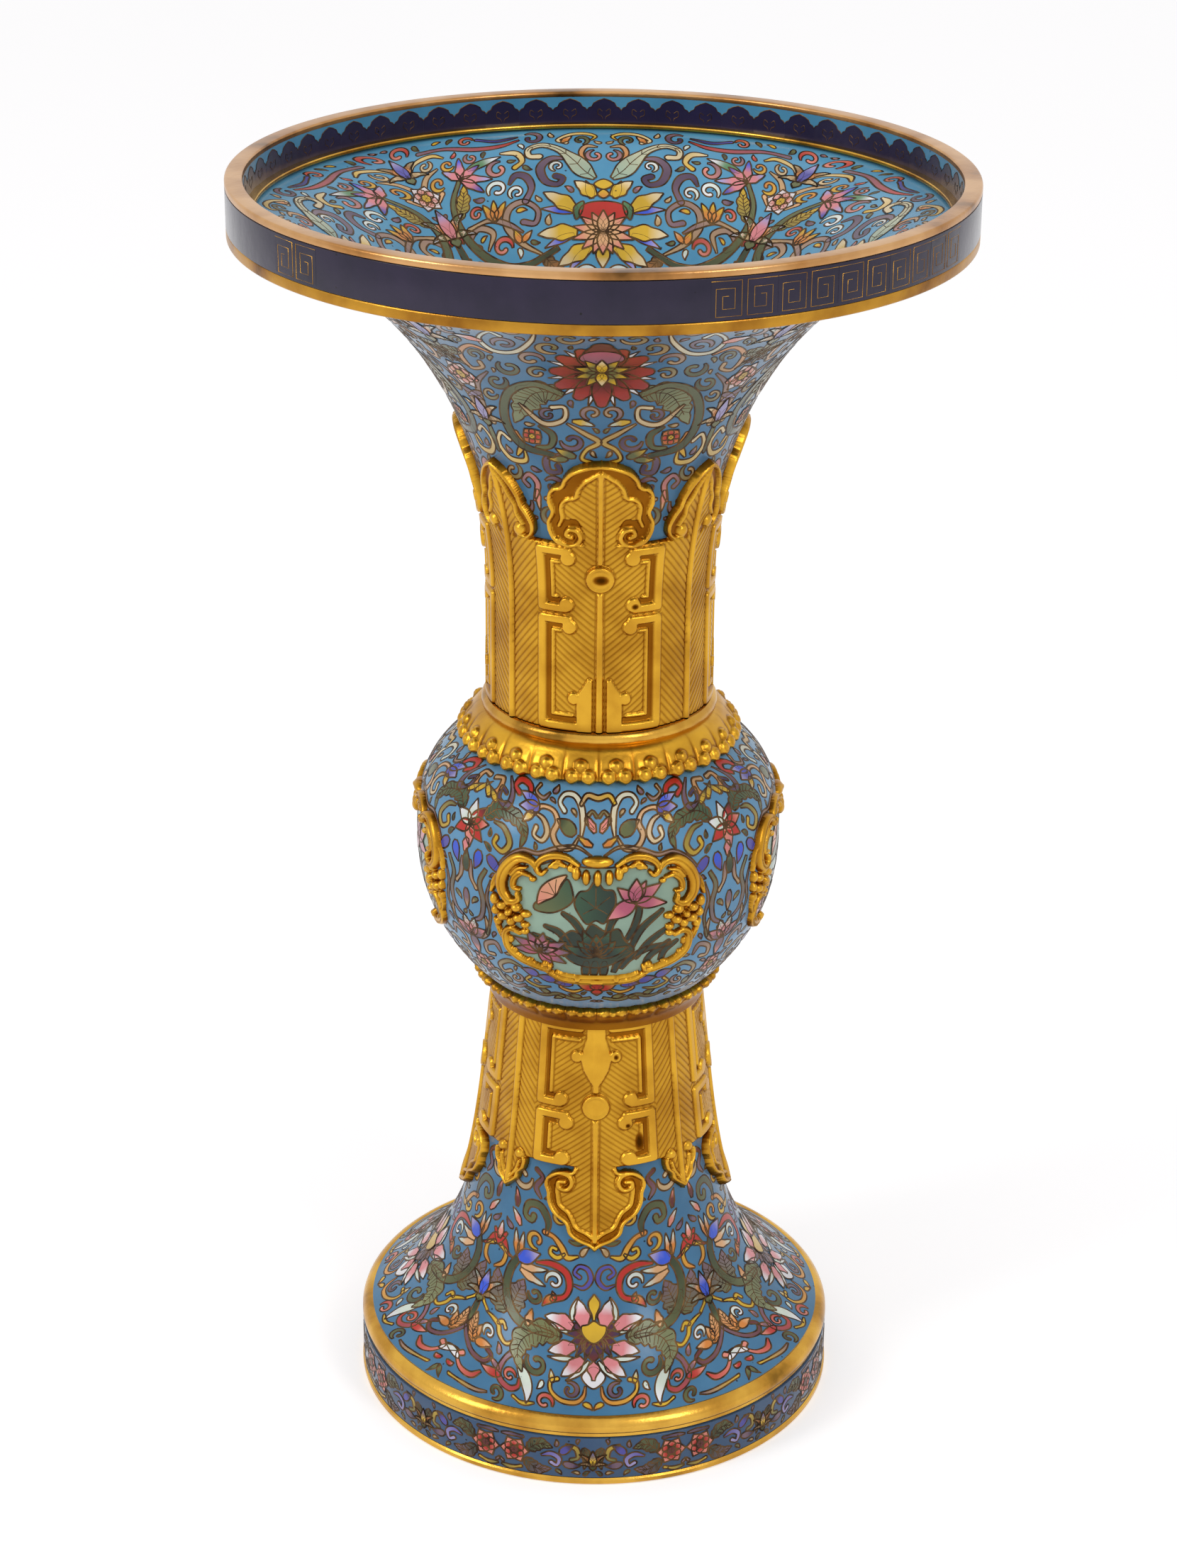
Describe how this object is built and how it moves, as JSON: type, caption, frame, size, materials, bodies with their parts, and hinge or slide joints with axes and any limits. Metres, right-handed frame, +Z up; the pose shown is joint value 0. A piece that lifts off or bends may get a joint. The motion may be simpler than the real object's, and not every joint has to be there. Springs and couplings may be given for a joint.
{
  "type": "beaker vase",
  "caption": "Tall beaker vase of gu form: cloisonne-enamel trumpet mouth, round knop with framed plaques and spreading foot, with gilt-bronze rings, lappet collars and leaf sleeves.",
  "frame": {"origin": "centre of the foot's underside, on the surface the vase stands on", "axes": "+Z up along the vase's axis, -Y towards the front cartouche, +X to the right as seen from the front"},
  "size_m": [0.19, 0.19, 0.35],
  "materials": {
    "gilt_bronze": "fire-gilt bronze, worn, with brown patina in the recesses",
    "copper": "dull hammered copper under the enamel",
    "turquoise_enamel": "polished opaque turquoise-blue enamel with wired lotus scroll in many colours",
    "navy_enamel": "polished dark navy enamel with thin gilt key-fret wires",
    "celadon_enamel": "polished pale green enamel with a lotus pond in colours"
  },
  "bodies": {
    "root": {"foot_base_ring": "gilt_bronze", "base_plate": "gilt_bronze", "foot_core": "copper", "foot_band_enamel": "turquoise_enamel", "foot_moulding_ring": "gilt_bronze", "foot_enamel": "turquoise_enamel", "knop_core": "copper", "knop_enamel": "turquoise_enamel", "lower_lappet_collar": "gilt_bronze", "upper_lappet_collar": "gilt_bronze", "cartouche_plaque_front": "celadon_enamel", "cartouche_plaque_right": "celadon_enamel", "cartouche_plaque_back": "celadon_enamel", "cartouche_plaque_left": "celadon_enamel", "cartouche_frame_front": "gilt_bronze", "cartouche_frame_right": "gilt_bronze", "cartouche_frame_back": "gilt_bronze", "cartouche_frame_left": "gilt_bronze", "neck_ring": "gilt_bronze", "trumpet_core": "copper", "trumpet_outer_enamel": "turquoise_enamel", "trumpet_inner_enamel": "turquoise_enamel", "lower_leaf_sleeve": "gilt_bronze", "upper_leaf_sleeve": "gilt_bronze", "collar_base_ring": "gilt_bronze", "collar_core": "copper", "collar_outer_enamel": "navy_enamel", "collar_inner_enamel": "turquoise_enamel", "collar_inner_fillet": "gilt_bronze", "mouth_lip_ring": "gilt_bronze"}
  },
  "joints": []
}
